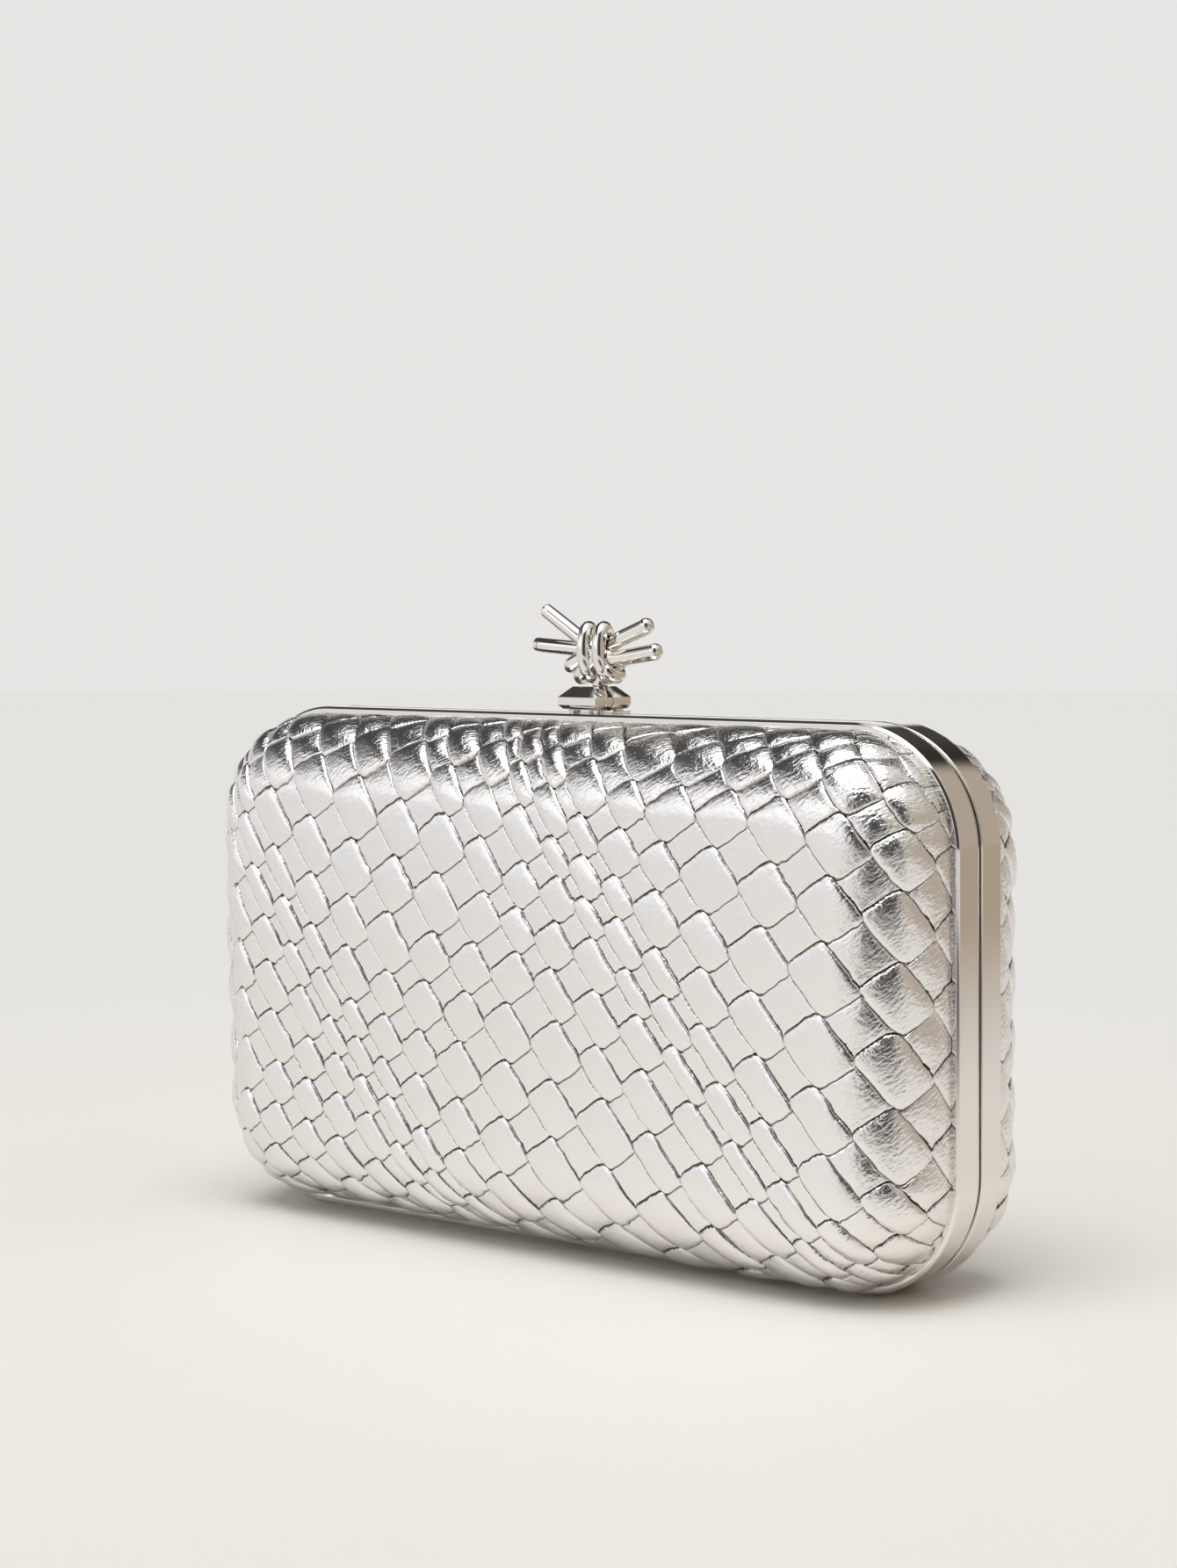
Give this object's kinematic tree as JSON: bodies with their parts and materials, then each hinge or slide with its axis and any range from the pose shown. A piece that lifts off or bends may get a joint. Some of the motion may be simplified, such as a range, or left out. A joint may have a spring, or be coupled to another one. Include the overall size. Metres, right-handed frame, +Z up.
{
  "type": "hard clutch bag",
  "caption": "Hard-shell clutch bag: two hinged metal rims with domed, basket-woven leather panels, opened by a sprung knot clasp on top.",
  "frame": {"origin": "on the parting plane between the two rims, at the middle of the flat bottom that the bag stands on", "axes": "+X along the bag's width, to the right seen from the front; -Y out of the front panel; +Z up towards the clasp"},
  "size_m": [0.188, 0.054, 0.1312],
  "materials": {
    "polished_nickel": "mirror-polished nickel plate, slightly warm",
    "silver_leather": "metallic silver leather pressed and woven as an uneven basket weave, glossy with fine creases",
    "foam": "thin upholstery foam",
    "shell_board": "moulded stiff shell, matt",
    "suede_lining": "grey suede, short nap",
    "hinge_steel": "nickel-plated steel, satin",
    "rivet_steel": "turned steel, lightly polished",
    "spring_steel": "blued spring steel"
  },
  "bodies": {
    "back_half": {"back_rim": "polished_nickel", "back_cover": "silver_leather", "back_padding": "foam", "back_shell": "shell_board", "back_lining": "suede_lining", "back_hinge_leaves": "hinge_steel", "back_hinge_rivets": "rivet_steel", "hinge_pins": "hinge_steel", "lip_strips": "polished_nickel", "clasp_base": "polished_nickel", "clasp_rivets": "rivet_steel", "tilt_pin": "hinge_steel", "return_spring": "spring_steel"},
    "front_half": {"front_rim": "polished_nickel", "front_cover": "silver_leather", "front_padding": "foam", "front_shell": "shell_board", "front_lining": "suede_lining", "front_hinge_leaves": "hinge_steel", "front_hinge_rivets": "rivet_steel", "catch_block": "polished_nickel", "catch_studs": "rivet_steel", "catch_spring": "spring_steel"},
    "clasp_lever": {"lever_block": "polished_nickel", "knot": "polished_nickel", "knot_screw": "rivet_steel"}
  },
  "joints": [
    {"name": "frame_open", "type": "hinge", "parent": "back_half", "child": "front_half", "pos_m": [0, 0, 0.0015], "axis": [1, 0, 0], "range_deg": [0, 78], "deforming": ["catch_spring"]},
    {"name": "clasp_tilt", "type": "hinge", "parent": "back_half", "child": "clasp_lever", "pos_m": [0, 0.0039, 0.1112], "axis": [-1, 0, 0], "range_deg": [0, 14], "stiffness_Nm_per_rad": 0.01, "springref_deg": -20.05, "deforming": ["return_spring"]}
  ]
}
